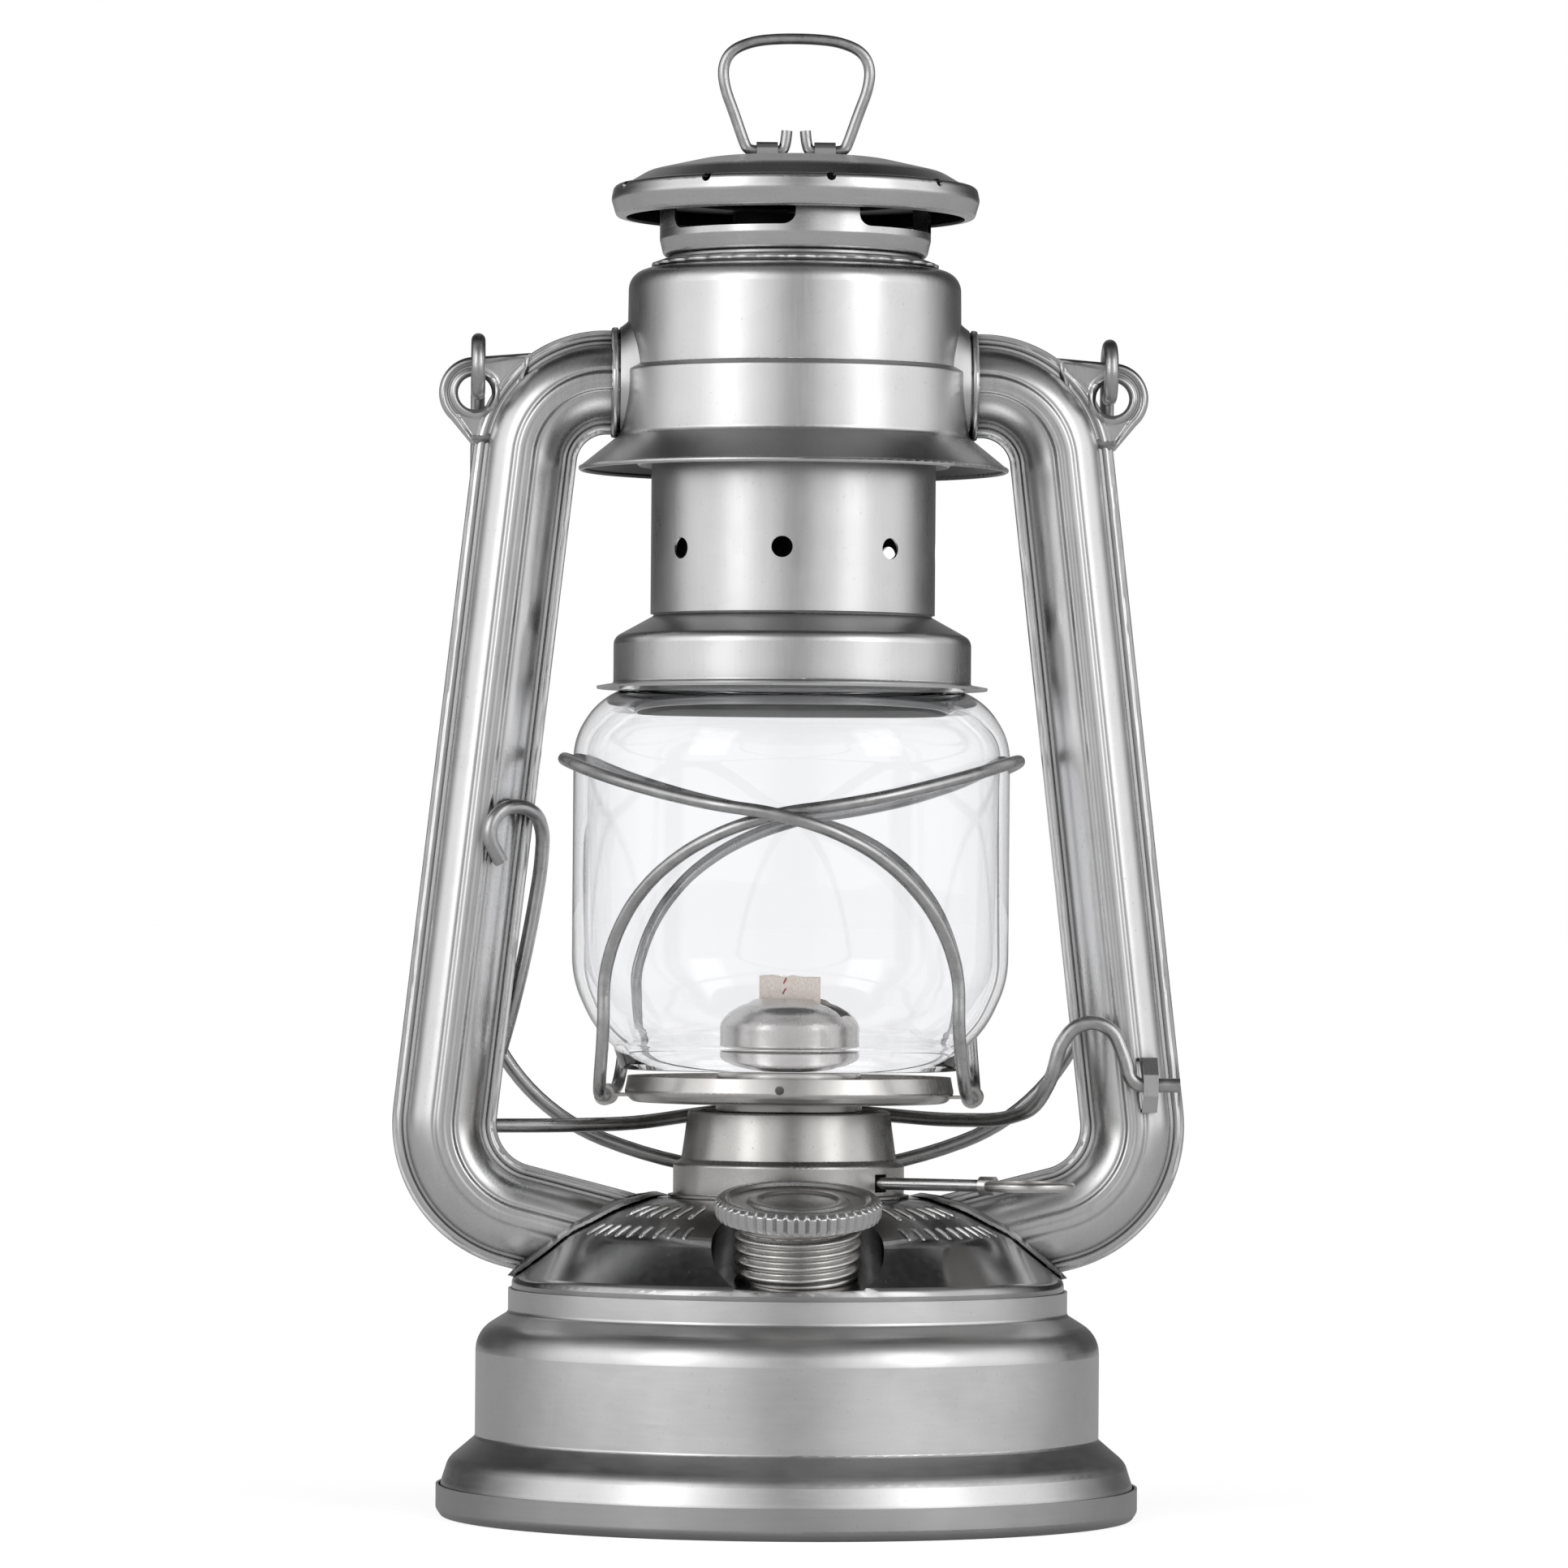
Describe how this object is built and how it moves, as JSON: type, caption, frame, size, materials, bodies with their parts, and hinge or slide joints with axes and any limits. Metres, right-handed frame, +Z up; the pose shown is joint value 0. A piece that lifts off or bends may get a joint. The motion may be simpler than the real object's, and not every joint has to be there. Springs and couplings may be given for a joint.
{
  "type": "barn lantern",
  "caption": "Hurricane lantern of pressed galvanised sheet: round fuel tank, wick burner, clear glass globe in a wire guard, side air tubes, vented cap and wire carrying bail.",
  "frame": {"origin": "centre of the foot, on the surface the lantern stands on", "axes": "+Z up, -Y towards the filler cap (the front), +X towards the wick winder key"},
  "size_m": [0.1504, 0.1328, 0.2815],
  "materials": {
    "galvanised_sheet": "dull galvanised sheet with light wear",
    "burner_sheet": "dull galvanised sheet, slightly darker from heat",
    "zinc_wire": "satin zinc-coated wire",
    "globe_glass": "clear, slightly wavy blown glass",
    "wick_cotton": "woven flat cotton wick",
    "seal_rubber": "matte rubber washer"
  },
  "bodies": {
    "frame": {"fount_bottom": "galvanised_sheet", "fount_body": "galvanised_sheet", "fount_divider": "galvanised_sheet", "fount_dome": "galvanised_sheet", "filler_neck": "galvanised_sheet", "burner_collar": "burner_sheet", "burner_deck": "burner_sheet", "burner_cone": "burner_sheet", "wick_tube": "burner_sheet", "canopy": "galvanised_sheet", "chimney_guide": "galvanised_sheet", "lever_keeper": "burner_sheet", "side_hook": "zinc_wire", "left_tube_front": "galvanised_sheet", "left_tube_back": "galvanised_sheet", "left_tube_ferrule": "galvanised_sheet", "left_tube_foot": "galvanised_sheet", "right_tube_front": "galvanised_sheet", "right_tube_back": "galvanised_sheet", "right_tube_ferrule": "galvanised_sheet", "right_tube_foot": "galvanised_sheet"},
    "seal": {"filler_seal": "seal_rubber"},
    "filler_cap": {"filler_cap": "galvanised_sheet"},
    "carrier": {"globe_plate": "burner_sheet", "globe": "globe_glass", "guard_wire_left": "zinc_wire", "guard_wire_right": "zinc_wire"},
    "lever": {"lift_lever": "zinc_wire"},
    "chimney": {"chimney_tube": "galvanised_sheet", "chimney_bell": "galvanised_sheet", "bell_spigot": "galvanised_sheet", "crown": "galvanised_sheet", "cap_hood": "galvanised_sheet", "cap_floor": "galvanised_sheet", "ring_straps": "galvanised_sheet"},
    "ring": {"lift_ring": "zinc_wire"},
    "bail": {"bail": "zinc_wire"},
    "winder": {"winder_shaft": "zinc_wire", "winder_sprockets": "burner_sheet", "winder_key": "zinc_wire"},
    "wick": {"wick": "wick_cotton"}
  },
  "joints": [
    {"name": "seal_lift", "type": "slide", "parent": "frame", "child": "seal", "axis": [0, -0.1891, 0.982], "range_m": [0, 0.00661]},
    {"name": "cap_turn", "type": "hinge", "parent": "seal", "child": "filler_cap", "pos_m": [0, -0.04, 0.0472], "axis": [0, -0.1891, 0.982], "range_deg": [0, 1080]},
    {"name": "globe_lift", "type": "slide", "parent": "frame", "child": "carrier", "axis": [0, 0, 1], "range_m": [0, 0.0104]},
    {"name": "lever_turn", "type": "hinge", "parent": "frame", "child": "lever", "pos_m": [-0.0566, 0.003, 0.0736], "axis": [0.9922, -0.104, 0.068], "range_deg": [0, 20]},
    {"name": "chimney_lift", "type": "slide", "parent": "carrier", "child": "chimney", "axis": [0, 0, 1], "range_m": [0, 0.015]},
    {"name": "ring_swing", "type": "hinge", "parent": "chimney", "child": "ring", "pos_m": [0, 0, 0.259], "axis": [1, 0, 0], "range_deg": [-80, 80]},
    {"name": "bail_swing", "type": "hinge", "parent": "frame", "child": "bail", "pos_m": [0, 0, 0.2175], "axis": [1, 0, 0], "range_deg": [0, 250]},
    {"name": "winder_turn", "type": "hinge", "parent": "frame", "child": "winder", "pos_m": [-0.00214, -0.00402, 0.0636], "axis": [0.8829, -0.4695, 0], "range_deg": [-190, 45]},
    {"name": "wick_slide", "type": "slide", "parent": "frame", "child": "wick", "axis": [0, 0, 1], "range_m": [-0.012, 0.003]}
  ],
  "couplings": [
    {"joint": "seal_lift", "follows": "cap_turn", "m_per_rad": 0.00035014},
    {"joint": "lever_turn", "follows": "globe_lift", "rad_per_m": 33.44},
    {"joint": "wick_slide", "follows": "winder_turn", "m_per_rad": 0.0036}
  ]
}
